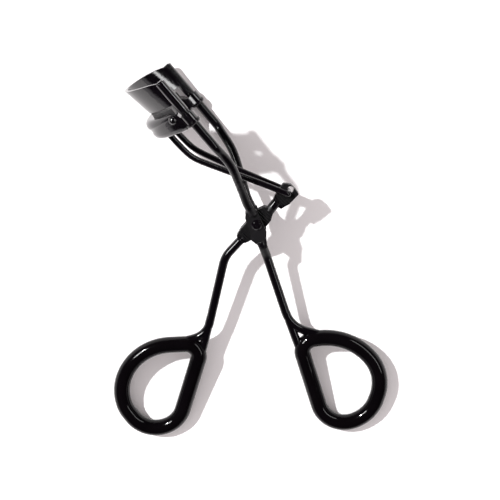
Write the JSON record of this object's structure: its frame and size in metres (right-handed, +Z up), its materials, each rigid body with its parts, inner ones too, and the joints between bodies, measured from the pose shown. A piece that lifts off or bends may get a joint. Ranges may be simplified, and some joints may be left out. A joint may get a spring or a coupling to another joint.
{
  "type": "eyelash curler",
  "caption": "Wire eyelash curler: curved fixed jaw on two guide rods, sliding padded lower jaw, U-shaped link, riveted lever and two coated finger rings.",
  "frame": {"origin": "middle of the footprint on the table, at the lowest point of the tool as it lies at rest on its two finger rings and the far end of the head", "axes": "+Y along the tool from the finger rings towards the curling head, +X to the side of the fixed handle, +Z up from the table"},
  "size_m": [0.0822, 0.112, 0.0331],
  "materials": {
    "lacquer": "gloss",
    "grip_coat": "gloss",
    "pad": "satin"
  },
  "bodies": {
    "frame": {"near_frame_wire": "lacquer", "far_frame_wire": "lacquer", "fixed_grip": "grip_coat", "upper_jaw": "lacquer", "pivot_rivet": "lacquer"},
    "lever": {"lever": "lacquer", "lever_grip": "grip_coat"},
    "link": {"link": "lacquer"},
    "slider": {"lower_jaw": "lacquer", "lash_pad": "pad", "near_eyelet": "lacquer", "far_eyelet": "lacquer"}
  },
  "joints": [
    {"name": "lever_pivot", "type": "hinge", "parent": "frame", "child": "lever", "pos_m": [0.00175, 0.01072, 0.01152], "axis": [0.0044, -0.1423, 0.9898], "range_deg": [-24, 3]},
    {"name": "link_hinge", "type": "hinge", "parent": "lever", "child": "link", "pos_m": [0.01095, 0.01935, 0.01272], "axis": [0.0044, -0.1423, 0.9898], "range_deg": [-3, 23]},
    {"name": "jaw_slide", "type": "slide", "parent": "frame", "child": "slider", "axis": [-0.6388, 0.7612, 0.1122], "range_m": [-0.0051, 0.0007]}
  ],
  "couplings": [
    {"joint": "link_hinge", "follows": "lever_pivot", "ratio": -0.957},
    {"joint": "jaw_slide", "follows": "lever_pivot", "m_per_rad": 0.01193}
  ]
}
